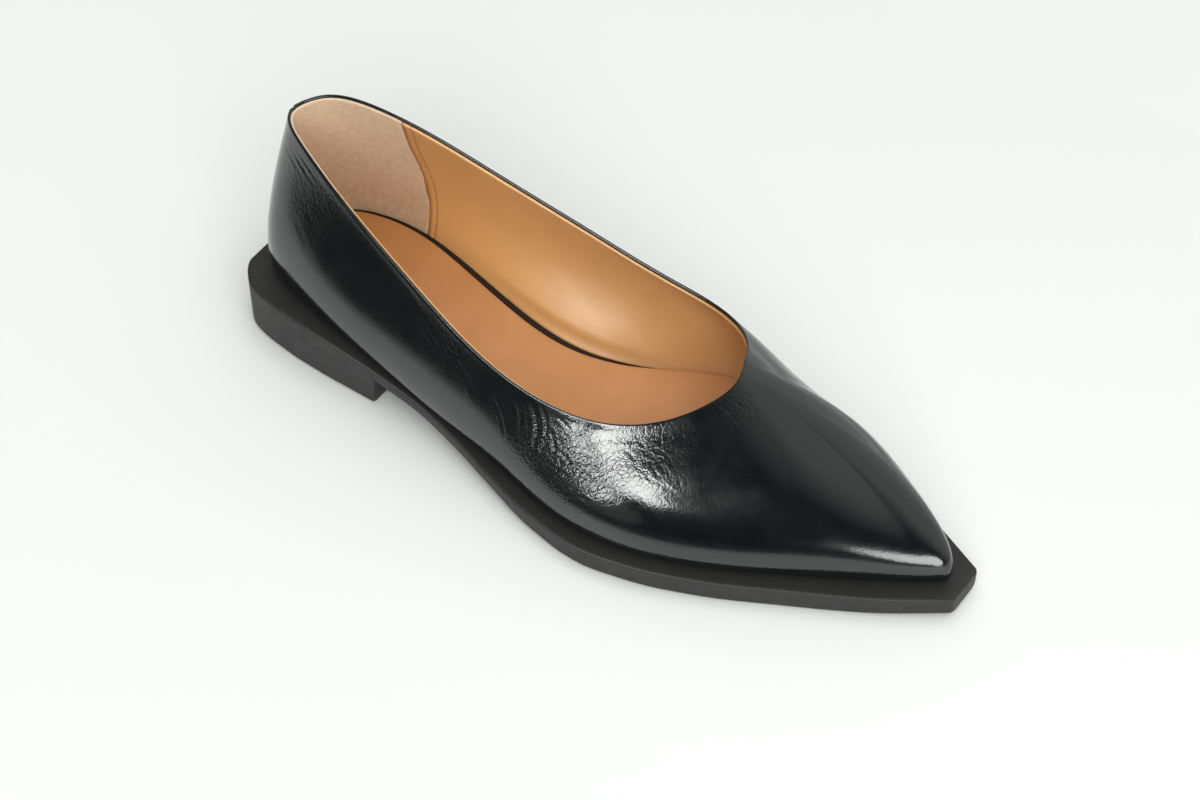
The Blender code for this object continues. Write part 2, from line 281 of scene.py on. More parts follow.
# The slight bead of the folded topline
BEAD_HEIGHT = 0.03
BEAD_PLACE = 0.9
BEAD_WIDTH = 0.8

# The roll where the leather turns under at the sole: how full it is round the shoe, and its rise and reach
ROLL_COLUMNS = ("along", "fullness")
ROLL = (
    (-212.0, 0.8),
    (-150.0, 1.2),
    (-60.0, 1.6),
    (0.0, 1.0),
    (12.0, 2.0),
    (60.0, 2.4),
    (150.0, 2.6),
    (190.0, 2.0),
    (216.0, 0.8),
)
ROLL_RISE = 0.9
ROLL_REACH = 22.0

# The soft turn of the outer vamp: its middle, how it falls from there towards the toe, and its size
TURN_ALONG = 40.0
TURN_DOWN = 16.5
TURN_FALL = 0.64
TURN_RUN = 24.0
TURN_WIDTH = 12.0
TURN_HEIGHT = 0.7
TURN_START = 6.0

# The seam down the back
SEAM_WIDTH = 0.45
SEAM_DEPTH = 0.35
SEAM_SWELL = 0.12

# Front edge of the suede heel grip: way round from the back at each height below the topline
GRIP_COLUMNS = ("down", "reach")
GRIP_EDGE = (
    (0.0, 39.9),
    (11.0, 41.8),
    (19.4, 44.8),
    (28.6, 47.9),
    (37.5, 49.8),
    (60.0, 52.0),
)
GRIP_MIDDLE_ROW = 2  # ways down are measured here
STITCH_LENGTH = 2.0
STITCH_PITCH = 2.8
STITCH_RADIUS = 0.17
STITCH_SIDES = 8
STITCH_PROFILE = ((0.0, 0.35), (0.12, 0.85), (0.5, 1.0), (0.88, 0.85), (1.0, 0.35))  # share, thickness
STITCH_ASIDE = (0.3, 0.4, 0.9)  # a direction that no stitch runs in
STITCH_SINK = 0.3  # radii that a stitch lies under the lining's face
STITCH_ROW = (0.06, 0.97)  # shares of the wall between which the row runs
STITCH_ROW_STEPS = 200
STITCH_SET_BACK = 3.8  # from the lining's edge to the row
SEAM_GROOVE = 0.6  # half the width of the groove that the row lies in
GROOVE_DEPTH = 0.00015  # in metres

# How much fuller the lining's face is where it bends in at the waist, and where along and above the sock
LINING_FULL = 1.2
FULL_PLACE = 105.0
FULL_RUN = 30.0
FULL_HEIGHT = 2.2
FULL_REACH_UP = 9.0
FULL_REACH_DOWN = 1.9

# Gap between sock and lining, where the dark board shows, along the shoe
SOCK_GAP_COLUMNS = ("x", "gap")
SOCK_GAPS = (
    (0.0, 2.2),
    (40.0, 2.9),
    (70.0, 3.8),
    (100.0, 4.4),
    (128.0, 3.2),
    (150.0, 0.6),
    (165.0, 0.2),
    (272.0, 0.2),
)
SOCK_TONE_AND_SHADE_RUN = (-0.09, 0.02)  # places in metres between which sock and lining change their tone: on the sock partly its own tone and partly painted shade at the heel, on the lining painted light at the heel and painted shade towards the toe
LINING_SHADE_RUN = (-0.06, 0.0)
SUEDE_PAINTED_LIGHT_RUN = (0.03, 0.07)  # heights in metres between which the suede grows lighter upwards, as painted light
SOCK_SECTIONS = 120
SOCK_ACROSS = 28
SOCK_DISH = 1.0
SOCK_EDGE_ROUND = 0.35
SLAB_ENDS = (0.02, 0.985)  # shares of half a turn between which board and sock are cut across

# Tones of the materials, from dark to light, from heel to toe or upwards
LEATHER_TONES = ((0.0014, 0.0029, 0.0034, 1), (0.0030, 0.0050, 0.0055, 1))
# lining: lighter at the heel as painted light, darker towards the toe as painted shade
LINING_LIT_TO_SHADED_TONES = ((0.71, 0.378, 0.136, 1), (0.56, 0.290, 0.098, 1))
GROOVE_SHADE_TONES = ((0.70, 0.60, 0.52, 1), (1, 1, 1, 1))  # the lining's tone is multiplied by these: painted shade in the sewn groove
# sock: darker at the heel, partly its own tone and partly painted shade
SOCK_OWN_AND_SHADE_TONES = ((0.43, 0.187, 0.058, 1), (0.595, 0.282, 0.119, 1))
# suede: darker low down, lighter at the top as painted light
SUEDE_SHADED_TO_LIT_TONES = ((0.50, 0.32, 0.19, 1), (0.82, 0.63, 0.445, 1))
THREAD_TONES = ((0.42, 0.19, 0.07, 1), (0.56, 0.28, 0.11, 1))
RUBBER_TONES = ((0.013, 0.013, 0.0125, 1), (0.021, 0.021, 0.0195, 1))
FLOOR_TONES = ((0.832, 0.840, 0.833, 1), (0.846, 0.852, 0.846, 1))
BOARD_TONE = (0.012, 0.007, 0.005, 1)
CARD_TONE = (0.002, 0.002, 0.002, 1)
LEATHER_ROUGHNESS = (0.13, 0.21)
RUBBER_ROUGHNESS = (0.48, 0.62)
CLOUD_RANGE = (0.3, 0.7)  # the part of a noise that is used from end to end

# Fine bumps of the materials: waves to the metre, detail, depth in metres and strength
TAN_GRAIN = (1500, 3, 0.00005, 0.3)
SUEDE_NAP = (2600, 4, 0.00025, 0.5)
BOARD_GRAIN = (1800, 3, 0.0001, 0.4)
RUBBER_STIPPLE = (2200, 3, 0.00008, 0.4)
LEATHER_PORES = (1300.0, 0.00006, 0.25)  # cells to the metre, depth in metres and strength

# The photograph's view and light, in metres and degrees
CAMERA_PLACE = (0.4203, -0.6241, 0.8148)
CAMERA_AIM = (0.004, -0.004, 0.026)
CAMERA_LENS = 100.0
CAMERA_SENSOR = 36.0
FLOOR_SIZE = 12.0
LIGHT_COLUMNS = ("name", "azimuth", "elevation", "distance", "width", "height", "power", "lights")
LIGHTS = (
    ("front_softbox", -7.0, 45.0, 1.5, 0.60, 0.52, 10.0, "gloss"),
    ("low_softbox", 8.0, 36.5, 1.5, 0.20, 0.22, 1.4, "gloss"),
    ("side_softbox", -19.0, 26.0, 1.5, 0.40, 0.42, 4.6, "gloss"),
    ("front_wall", -20.0, 10.0, 2.5, 2.30, 1.70, 3.2, "gloss"),
    ("toe_softbox", 59.0, 13.0, 1.6, 1.20, 0.68, 15.0, "gloss"),
    ("front_fill", 35.0, 40.0, 2.2, 2.40, 1.60, 38.0, "matte"),
    ("overhead_fill", 0.0, 90.0, 2.6, 3.60, 3.60, 30.0, "matte"),
    ("left_fill", -110.0, 40.0, 2.0, 1.20, 1.00, 3.0, "matte"),
    ("right_fill", 85.0, 42.0, 2.0, 1.40, 1.20, 4.0, "matte"),
)
DARK_ROOM = 0.04
PALE_WALL = 0.70
PALE_SIDE = (165.0, 35.0)  # azimuth and elevation of the pale wall behind the shoe
PALE_SPREAD = (0.25, 0.75)  # cosines of the angle to it between which the room grows pale
LIGHT_TINT = (0.985, 1.0, 0.983)
CAMERA_BACKGROUND = (0.90, 0.915, 0.90, 1.0)

# Dark cards on the floor, for reflections only, and where their soft edges lie
FLAG_COLUMNS = ("name", "start", "full", "end", "strength")
FLAGS = (
    ("front_flag", -0.085, -0.13, -6.0, 1.0),
    ("back_flag", 0.05, 0.12, 0.25, 0.5),
)
FLAG_HALF_WIDTH = 3.0
FLAG_HEIGHT = 0.001


def column(columns, rows, name):
    return np.array([row[columns.index(name)] for row in rows], float)


def named(columns, rows):
    """The rows of a table, with their values by name."""
    return [dict(zip(columns, row)) for row in rows]


def through(stations, values, at):
    """A smooth curve through the stations that never swings past a value, read at the given places."""
    step = np.diff(stations)
    rise = np.diff(values) / step
    slope = np.zeros(len(values))
    same_way = rise[:-1] * rise[1:] > 0
    mean = 2 * rise[:-1] * rise[1:] / np.where(same_way, rise[:-1] + rise[1:], 1)
    slope[1:-1] = np.where(same_way, mean, 0)
    slope[0], slope[-1] = rise[0], rise[-1]
    span = np.clip(np.searchsorted(stations, at) - 1, 0, len(step) - 1)
    share = (at - stations[span]) / step[span]
    turn = share * share * (3 - 2 * share)
    leave = share * (1 - share) ** 2 * step[span] * slope[span]
    arrive = share * share * (share - 1) * step[span] * slope[span + 1]
    return values[span] * (1 - turn) + values[span + 1] * turn + leave + arrive


def table_value(columns, rows, name, at):
    """A column of a table, read smoothly at places of its first column."""
    return through(column(columns, rows, columns[0]), column(columns, rows, name), np.asarray(at, float))


def sole_value(name, x):
    return table_value(SOLE_COLUMNS, SOLE_SECTIONS, name, x)


def bottom_height(x):
    """Height of the underside in front of the heel breast."""
    if x < SHANK_SECTIONS[-1][0]:
        return float(table_value(SHANK_COLUMNS, SHANK_SECTIONS, "bottom", x))
    return float(sole_value("bottom", x))


def frame_shift():
    """From the tables' zero to the part's origin, in millimetres."""
    low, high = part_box("outsole")
    outline = np.linspace(0, SOLE_SECTIONS[-1][0], OUTLINE_STEPS)
    outer, inner = sole_value("outer", outline).min(), sole_value("inner", outline).max()
    return np.array([low.x / MM, (low.y + high.y) / 2 / MM - (outer + inner) / 2, low.z / MM])


SHIFT = frame_shift()


def closed_curve(rows, at):
    """Values and slopes of a smooth closed curve through the rows, at places counted in rows."""
    here = np.eye(len(rows))
    after, before = np.roll(rows, -1, axis=0), np.roll(rows, 1, axis=0)
    tied = np.roll(here, 1, axis=0) + 4 * here + np.roll(here, -1, axis=0)
    bend = np.linalg.solve(tied, 6 * (after - 2 * rows + before))
    start = np.floor(at).astype(int) % len(rows)
    end = (start + 1) % len(rows)
    share = (at - np.floor(at))[:, None]
    back = 1 - share
    value = back * rows[start] + share * rows[end]
    value += ((back**3 - back) * bend[start] + (share**3 - share) * bend[end]) / 6
    slope = rows[end] - rows[start]
    slope = slope + ((1 - 3 * back**2) * bend[start] + (3 * share**2 - 1) * bend[end]) / 6
    return value, slope


def unit(vectors):
    return vectors / np.linalg.norm(vectors, axis=-1, keepdims=True)


def outward(slopes):
    """Unit vectors in plan that point out of an outline with these slopes."""
    return unit(np.column_stack([slopes[:, 1], -slopes[:, 0]]))


def leaning(plan, degrees):
    """Unit vectors that lean from upright towards the directions in plan."""
    lean = np.radians(degrees)[:, None]
    return np.column_stack([np.sin(lean) * plan, np.cos(lean)])


def wall(at, share):
    """Points of the outer face, at places counted in rows and shares of the way from foot to topline."""
    at, share = np.broadcast_arrays(at, share)
    value, slope = closed_curve(np.array(UPPER_SECTIONS, float), at.ravel())
    read = dict(zip(UPPER_COLUMNS, value.T))
    foot_out, top_out = outward(slope[:, 0:2]), outward(slope[:, 2:4])
    foot = np.column_stack([read["foot_x"], read["foot_y"], sole_value("top", read["foot_x"]) + GAP])
    top = value[:, 2:5]
    leave = foot + read["foot_pull"][:, None] * leaning(foot_out, read["foot_lean"])
    arrive = top - read["top_pull"][:, None] * leaning(-top_out, read["top_lean"])
    part = share.ravel()[:, None]
    back = 1 - part
    points = back**3 * foot + 3 * back**2 * part * leave + 3 * back * part**2 * arrive + part**3 * top
    return points.reshape(at.shape + (3,))


def wall_frame(at, share):
    """Points of the outer face with the normals and the upward directions there."""
    at, share = np.broadcast_arrays(at, share)
    ahead = wall(at + SLOPE_STEP, share) - wall(at - SLOPE_STEP, share)
    upwards = wall(at, np.minimum(share + SLOPE_STEP, 1)) - wall(at, np.maximum(share - SLOPE_STEP, 0))
    return wall(at, share), unit(np.cross(ahead, upwards)), unit(upwards)


def run_along(points):
    """Ways along a row of points from its start."""
    return np.concatenate([[0], np.cumsum(np.linalg.norm(np.diff(points, axis=0), axis=1))])


# The tape: ways along the topline at evenly spaced places
TAPE_AT = np.linspace(0, ROWS, ROWS * TAPE_STEPS + 1)
TAPE_RUN = run_along(wall(TAPE_AT, 1.0))
TAPE_ALONG = TAPE_RUN[THROAT_ROW * TAPE_STEPS] - TAPE_RUN
OUTER_BACK, INNER_BACK = TAPE_ALONG[0], TAPE_ALONG[-1]


def place_of(along):
    """Places counted in rows for ways along the topline."""
    return np.interp(along, TAPE_ALONG[::-1], TAPE_AT[::-1])


def share_of(at, down):
    """Shares of the wall for ways down from the topline."""
    share = np.linspace(0, 1, 2 * TAPE_STEPS)
    shares = []
    for place, way in zip(at, down):
        run = np.linalg.norm(np.diff(wall(place, share), axis=0), axis=1)
        left = np.append(np.cumsum(run[::-1])[::-1], 0)
        shares.append(np.interp(way, left[::-1], share[::-1]))
    return np.array(shares)


def downs(points):
    """Ways down from the topline for sections of points from foot to topline."""
    run = np.linalg.norm(np.diff(points, axis=1), axis=2)
    left = np.cumsum(run[:, ::-1], axis=1)[:, ::-1]
    return np.concatenate([left, np.zeros((len(points), 1))], axis=1)


def bell(distance, width):
    return np.exp(-((distance / width) ** 2))


def crease_path(crease):
    """Points of one crease on the wall."""
    share = np.linspace(0, 1, CREASE_POINTS)
    start = np.array([crease["along"], crease["down"]])
    way = np.array([crease["to_along"], crease["to_down"]]) - start
    across = unit(np.array([-way[1], way[0]]))
    line = start + share[:, None] * way
    line = line + (crease["bow"] * np.sin(math.pi * share))[:, None] * across
    at = place_of(line[:, 0])
    return wall(at, share_of(at, line[:, 1]))


def crease_heights(points):
    """How far the creases lift or sink each point of the leather."""
    flat = points.reshape(-1, 3)
    height = np.zeros(len(flat))
    for crease in named(CREASE_COLUMNS, CREASES):
        width = crease["width"]
        path = crease_path(crease)
        reach = CREASE_REACH * width
        near = ((flat > path.min(0) - reach) & (flat < path.max(0) + reach)).all(1)
        gap = np.linalg.norm(flat[near][:, None] - path[None], axis=2)
        distance = gap.min(1)
        share = np.clip(gap.argmin(1) / (CREASE_POINTS - 1), *CREASE_ENDS)
        taper = np.sin(math.pi * share) ** CREASE_TAPER
        ridges = CREASE_RIDGE * bell(distance - CREASE_RIDGE_PLACE * width, width)
        height[near] += crease["depth"] * taper * (ridges - bell(distance, width))
    return height.reshape(points.shape[:2])


def zone_strength(along, down):
    """How strongly the leather is crinkled, from 0 to 1."""
    strength = np.zeros(np.broadcast(along, down).shape)
    for zone in named(CRINKLE_COLUMNS, CRINKLE_ZONES):
        beside = bell(along - zone["along"], zone["reach_along"])
        strength += zone["strength"] * beside * bell(down - zone["down"], zone["reach_down"])
    return np.clip(strength, 0, 1)


def noise_heights(points, length, seed):
    """Smooth unevenness from -1 to 1 with the given wavelength."""
    flat = points.reshape(-1, 3) / length + seed
    return np.array([noise.noise(Vector(p)) for p in flat]).reshape(points.shape[:-1])


def crackle_heights(points, cell):
    """Rounded cells between narrow wrinkles, from 0 in a wrinkle to 1."""
    flat = points.reshape(-1, 3) / cell
    noise.seed_set(CRINKLE_SEED)
    heights = []
    for p in flat:
        moved = Vector(p) + CELL_WANDER * noise.noise_vector(Vector(p) * CELL_WANDER_SCALE)
        near, next_one = noise.voronoi(moved)[0][:2]
        heights.append(min(1.0, CELL_STEEPNESS * (next_one - near)))
    return np.array(heights).reshape(points.shape[:-1])


def add_object(name, data):
    made = bpy.data.objects.new(name, data)
    bpy.context.scene.collection.objects.link(made)
    return made


def add_mesh(name, points, faces, material, smooth_angle=None):
    """A mesh object from points in the tables' millimetres, with its faces turned out."""
    mesh = bpy.data.meshes.new(name)
    mesh.from_pydata(((np.asarray(points).reshape(-1, 3) + SHIFT) * MM).tolist(), [], faces)
    work = bmesh.new()
    work.from_mesh(mesh)
    bmesh.ops.recalc_face_normals(work, faces=work.faces)
    if work.calc_volume(signed=True) < 0:
        bmesh.ops.reverse_faces(work, faces=work.faces)
    work.to_mesh(mesh)
    work.free()
    mesh.shade_smooth()
    if smooth_angle is not None:
        mesh.set_sharp_from_angle(angle=math.radians(smooth_angle))
    mesh.materials.append(material)
    return add_object(name, mesh)


def ring_faces(count, size, closed):
    """Quads between rings of points, with end caps where the row doesn't close."""
    faces = []
    for ring in range(count if closed else count - 1):
        after = (ring + 1) % count
        for i in range(size):
            j = (i + 1) % size
            faces.append((ring * size + i, after * size + i, after * size + j, ring * size + j))
    if not closed:
        faces.append(tuple(range(size)))
        faces.append(tuple(range((count - 1) * size, count * size)))
    return faces


def add_rings(name, rings, material, closed, smooth_angle=None):
    return add_mesh(name, rings, ring_faces(*rings.shape[:2], closed), material, smooth_angle)


def set_numbers(made, name, values):
    """One number for each point of a mesh, for its material to read."""
    numbers = made.data.attributes.new(name, "FLOAT", "POINT")
    numbers.data.foreach_set("value", values.astype(np.float32).ravel())


def ride(made, slot, *nodes):
    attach(made, "root")
    if nodes:
        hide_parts(*nodes)


def upper_places():
    """Places round the upper, closer where the leather is crinkled."""
    parts = []
    for row in range(ROWS):
        steps = FINE_STEPS if row in FINE_ROWS else BENT_STEPS if row in BENT_ROWS else PLAIN_STEPS
        parts.append(row + np.arange(steps) / steps)
    return np.concatenate(parts)


def leather_heights(points, along, down):
    """What moves the leather's face in or out: creases, crinkles, slack, bead, roll, turn and seam."""
    crinkle = zone_strength(along, down)
    height = crease_heights(points)
    height += CRINKLE_HEIGHT * crinkle * (crackle_heights(points, CRINKLE_CELL) - CRINKLE_LEVEL)
    slack = noise_heights(points, SLACK_LENGTH, SLACK_SEED)
    height += SLACK_HEIGHT * slack * np.clip(down / SLACK_START, 0, 1)
    height += BEAD_HEIGHT * bell(down - BEAD_PLACE, BEAD_WIDTH)
    up = down.max(axis=1, keepdims=True) - down
    fullness = table_value(ROLL_COLUMNS, ROLL, "fullness", along)
    height += fullness * (1 - np.exp(-up / ROLL_RISE)) * bell(up, ROLL_REACH)
    crest = TURN_DOWN + TURN_FALL * (TURN_ALONG - along)
    turned = bell(along - TURN_ALONG, TURN_RUN) * bell(down - crest, TURN_WIDTH)
    height += TURN_HEIGHT * turned * np.clip(down / TURN_START, 0, 1)
    from_back = np.minimum(np.abs(along - OUTER_BACK), np.abs(along - INNER_BACK))
    height -= SEAM_DEPTH * bell(from_back, SEAM_WIDTH)
    height += SEAM_SWELL * bell(from_back - 3 * SEAM_WIDTH, 2 * SEAM_WIDTH)
    return height, crinkle


def make_upper(material):
    """The leather upper: a closed shell with a rolled topline edge."""
    at = upper_places()[:, None]
    points, normal, rise = wall_frame(at, np.linspace(0, 1, WALL_STEPS)[None])
    along, down = np.interp(at, TAPE_AT, TAPE_ALONG), downs(points)
    height, crinkle = leather_heights(points, along, down)
    outer = points + height[:, :, None] * normal
    turn = np.linspace(0, math.pi, CREST_STEPS + 2)[1:-1][None, :, None]
    middle = outer[:, -1:] - LEATHER / 2 * normal[:, -1:]
    crest = middle + LEATHER / 2 * (np.cos(turn) * normal[:, -1:] + np.sin(turn) * rise[:, -1:])
    inside, inside_normal, _ = wall_frame(at, np.linspace(1, 0, INNER_STEPS)[None])
    inner = inside - LEATHER * inside_normal
    inner[:, 0] = outer[:, -1] - LEATHER * normal[:, -1]
    inner[:, -1, 2] = outer[:, 0, 2]
    rings = np.concatenate([outer, crest, inner], axis=1)
    made = add_rings("upper_leather", rings, material, closed=True)
    rest = rings.shape[1] - WALL_STEPS
    along = np.broadcast_to(along, down.shape)
    for name, values in (("crinkle", crinkle), ("along", along), ("down", down)):
        set_numbers(made, name, np.pad(values, ((0, 0), (0, rest)), mode="edge"))
    ride(made, "upper_leather", "upper")


def grip_place(share, side):
    """Place of the heel grip's front edge on the outer (1) or inner (-1) side, at shares of the wall."""
    back = OUTER_BACK if side > 0 else -INNER_BACK
    at = place_of(side * (back - GRIP_EDGE[GRIP_MIDDLE_ROW][1]))
    way = downs(wall(at, share)[None])[0]
    reach = table_value(GRIP_COLUMNS, GRIP_EDGE, "reach", np.clip(way, 0, GRIP_EDGE[-1][0]))
    return place_of(side * (back - reach))


def fuller(points):
    """How far the lining's face stands in from its plain place, where it bends in towards the sock."""
    above = points[..., 2] - sole_value("top", points[..., 0]) - SOCK_TOP - FULL_HEIGHT
    reach = np.where(above > 0, FULL_REACH_UP, FULL_REACH_DOWN)
    return LINING_FULL * bell(points[..., 0] - FULL_PLACE, FULL_RUN) * bell(above, reach)


def layer_rings(at, share, face_depth):
    """Rings of a thin layer inside the leather, its face at a depth and its edge below the topline."""
    points, normal, rise = wall_frame(at, share)
    back_depth = LEATHER + SKIN_GAP
    outer = points - back_depth * normal
    inner = points - (face_depth + fuller(points))[..., None] * normal
    for face in (outer, inner):
        face[:, -1] -= LINING_TOP_DROP * rise[:, -1]
    crest = (outer[:, -1:] + inner[:, -1:]) / 2
    crest = crest + LINING_CREST * (face_depth - back_depth) * rise[:, -1:]
    return np.concatenate([outer[:, ::LAYER_BACK_STEP], outer[:, -1:], crest, inner[:, ::-1]], axis=1)


def make_lining(material):
    """The tan lining, from one edge of the heel grip round the throat to the other."""
    share = np.linspace(LINING_FOOT, 1, LINING_STEPS)
    turn = np.linspace(0, 1, LINING_SECTIONS)[:, None]
    at = (1 - turn) * grip_place(share, 1)[None] + turn * grip_place(share, -1)[None]
    rings = layer_rings(at, share[None], WALL)
    made = add_rings("lining", rings, material, closed=False)
    along = np.interp(at[:, -1], TAPE_AT, TAPE_ALONG)
    from_grip = np.minimum(np.abs(along - along[0]), np.abs(along - along[-1]))
    set_numbers(made, "from_grip", np.repeat(from_grip, rings.shape[1]))
    ride(made, "sock_leather")


def make_heel_grip(material):
    """The suede heel grip, round the back between the lining's two edges."""
    share = np.linspace(LINING_FOOT, 1, LINING_STEPS)
    turn = np.linspace(0, 1, GRIP_SECTIONS)[:, None]
    at = (1 - turn) * grip_place(share, -1)[None] + turn * (ROWS + grip_place(share, 1))[None]
    rings = layer_rings(at, share[None], WALL - GRIP_DEPTH)
    ride(add_rings("heel_grip", rings, material, closed=False), "sock_leather")


def stitch_points(start, end):
    """Rings of one short stitch with round ends."""
    along = end - start
    side = unit(np.cross(along, STITCH_ASIDE))
    other = unit(np.cross(along, side))
    turn = np.linspace(0, 2 * math.pi, STITCH_SIDES, endpoint=False)[:, None]
    circle = STITCH_RADIUS * (np.cos(turn) * side + np.sin(turn) * other)
    return np.array([start + share * along + thick * circle for share, thick in STITCH_PROFILE])


def make_grip_stitches(material):
    """A stitch row on the lining beside each edge of the heel grip."""
    share = np.linspace(*STITCH_ROW, STITCH_ROW_STEPS)
    points, faces = [], []
    for side in (1, -1):
        edge = grip_place(share, side)
        row = place_of(np.interp(edge, TAPE_AT, TAPE_ALONG) - side * STITCH_SET_BACK)
        line, normal, _ = wall_frame(row, share)
        line = line - (WALL + STITCH_SINK * STITCH_RADIUS) * normal
        run = run_along(line)
        for start in np.arange(0, run[-1] - STITCH_LENGTH, STITCH_PITCH):
            ends = [[np.interp(w, run, line[:, k]) for k in range(3)] for w in (start, start + STITCH_LENGTH)]
            rings = stitch_points(*np.array(ends))
            first = sum(len(p) for p in points)
            quads = ring_faces(*rings.shape[:2], closed=False)
            faces += [tuple(first + i for i in face) for face in quads]
            points.append(rings.reshape(-1, 3))
    ride(add_mesh("grip_stitches", np.concatenate(points), faces, material), "sock_leather")


def insole_edge(at, height, gap):
    """Outline at a height above the sole's top face, a gap inside the lining's face."""
    share = np.linspace(0, FOOT_SHARE, FOOT_STEPS)
    points, normal, _ = wall_frame(at[:, None], share[None])
    face = points - WALL * normal
    above = face[:, :, 2] - sole_value("top", face[:, :, 0])
    edge = [[np.interp(height, level, line[:, k]) for k in range(2)] for level, line in zip(above, face)]
    edge = np.array(edge)
    slope = np.roll(edge, -1, axis=0) - np.roll(edge, 1, axis=0)
    return edge - np.asarray(gap).reshape(-1, 1) * outward(slope)


def across_sections(edge, count):
    """Left and right ends of sections across an outline, from heel to toe."""
    heel, toe = edge[:, 0].argmin(), edge[:, 0].argmax()
    outer = np.roll(edge, -heel, axis=0)[: (toe - heel) % len(edge) + 1]
    inner = np.roll(edge, -toe, axis=0)[: (heel - toe) % len(edge) + 1][::-1]
    turn = (1 - np.cos(np.linspace(*SLAB_ENDS, count) * math.pi)) / 2
    x = edge[heel, 0] + turn * (edge[toe, 0] - edge[heel, 0])
    ends = [np.interp(x, side[:, 0], side[:, 1]) for side in (outer, inner)]
    return x, *ends


def slab_rings(edge, low, high, dish, edge_round):
    """Rings across a thin slab on the sole, dished along its middle and rounded at its upper edge."""
    x, outer, inner = across_sections(edge, SOCK_SECTIONS)
    share = (1 - np.cos(np.linspace(0, math.pi, SOCK_ACROSS))) / 2
    y = outer[:, None] + share[None] * (inner - outer)[:, None]
    from_edge = np.minimum(y - outer[:, None], inner[:, None] - y)
    sink = edge_round * bell(from_edge, edge_round) + dish * np.sin(math.pi * share)[None] ** 2
    base = sole_value("top", x)[:, None]
    level = np.broadcast_to(x[:, None], y.shape)
    upper = np.stack([level, y, base + high - sink], axis=2)
    under = np.stack([level, y, np.broadcast_to(base + low, y.shape)], axis=2)
    return np.concatenate([upper, under[:, ::-1][:, ::SLAB_UNDER_STEP], under[:, :1]], axis=1)


def make_insole(board_material, sock_material):
    """The dark insole board, and the tan sock on it with a gap to the lining."""
    at = np.linspace(0, ROWS, INSOLE_STEPS * ROWS, endpoint=False)
    edge = insole_edge(at, BOARD_TOP, BOARD_GAP)
    rings = slab_rings(edge, GAP, BOARD_TOP, 0.0, BOARD_EDGE_ROUND)
    board = add_rings("insole_board", rings, board_material, closed=False, smooth_angle=40)
    ride(board, "sock_leather", "insole")
    gap = table_value(SOCK_GAP_COLUMNS, SOCK_GAPS, "gap", wall(at, 0.0)[:, 0])
    edge = insole_edge(at, SOCK_TOP, gap)
    rings = slab_rings(edge, BOARD_TOP + SKIN_GAP, SOCK_TOP, SOCK_DISH, SOCK_EDGE_ROUND)
    ride(add_rings("sock", rings, sock_material, closed=False, smooth_angle=60), "sock_leather")


def corner_points(corner, before, after, radius):
    """A rounded corner between two sides, with a support point on each side of the rounding."""
    to_before, to_after = unit(before - corner), unit(after - corner)
    share = np.linspace(0, 1, ROUND_STEPS + 1)[:, None]
    start, end = corner + radius * to_before, corner + radius * to_after
    curve = (1 - share) ** 2 * start + 2 * share * (1 - share) * corner + share**2 * end
    return np.concatenate([[start + EDGE_SUPPORT * to_before], curve, [end + EDGE_SUPPORT * to_after]])


def sole_ring(x, bottom, shrink=0.0, raised=0.0, sunk=0.0):
    """One cross-section of the sole: flat top, leaning walls and rounded edges."""
    outer, inner = float(sole_value("outer", x)) + shrink, float(sole_value("inner", x)) - shrink
    top, floor = float(sole_value("top", x)) - sunk, bottom + raised
    corners = np.array([[outer, top], [outer + SOLE_DRAFT, floor], [inner - SOLE_DRAFT, floor], [inner, top]])
    ring = []
    for i, radius in enumerate((RIM_ROUND, BOTTOM_ROUND, BOTTOM_ROUND, RIM_ROUND)):
        ring.append(corner_points(corners[i], corners[i - 1], corners[(i + 1) % 4], radius))
    ring = np.concatenate(ring)
    return np.column_stack([np.full(len(ring), x), ring])


def fallen(radius, way):
    """How far a rounding of this radius falls off, so far from where it ends."""
    left = radius - min(way, radius)
    return radius - math.sqrt(radius**2 - left**2)


def end_rings(end, inwards, bottom, corner, round_bottom):
    """Rings that round off one end of the sole, from the end inwards."""
    rings = []
    for turn in np.linspace(0, math.pi / 2, 2 * ROUND_STEPS + 1):
        way = corner * (1 - math.cos(turn))
        x = end + inwards * way
        shrink = corner * (1 - math.sin(turn))
        rings.append(sole_ring(x, bottom(x), shrink, fallen(round_bottom, way), fallen(RIM_ROUND, way)))
    return rings


def breast_rings():
    """Rings that round the lower edge of the heel's front."""
    rings = []
    for turn in np.linspace(0, math.pi / 2, ROUND_STEPS + 1):
        x = HEEL_BREAST - BREAST_ROUND * (1 - math.sin(turn))
        rings.append(sole_ring(x, 0.0, raised=BREAST_ROUND * (1 - math.cos(turn))))
    return rings


def make_sole(material):
    """The moulded unit: rim, shank, heel block with its breast, and a little toe spring."""
    length = SOLE_SECTIONS[-1][0]
    heel = np.arange(HEEL_CORNER + SOLE_STEP, HEEL_BREAST - BREAST_ROUND - SOLE_STEP / 2, SOLE_STEP)
    front = np.arange(HEEL_BREAST + BREAST_SLANT, length - TOE_CORNER - SOLE_STEP / 2, SOLE_STEP)
    rings = end_rings(0.0, 1, lambda x: 0.0, HEEL_CORNER, HEEL_BACK_ROUND)
    rings += [sole_ring(x, 0.0) for x in heel]
    rings += breast_rings()
    rings += [sole_ring(x, bottom_height(x)) for x in front]
    rings += end_rings(length, -1, bottom_height, TOE_CORNER, TOE_CORNER)[::-1]
    made = add_rings("sole_unit", np.array(rings), material, closed=False, smooth_angle=50)
    ride(made, "sole_rubber", "outsole")


def put(tree, socket, value):
    """Links a socket to another one, or sets its value."""
    if isinstance(value, bpy.types.NodeSocket):
        tree.links.new(value, socket)
    else:
        socket.default_value = value


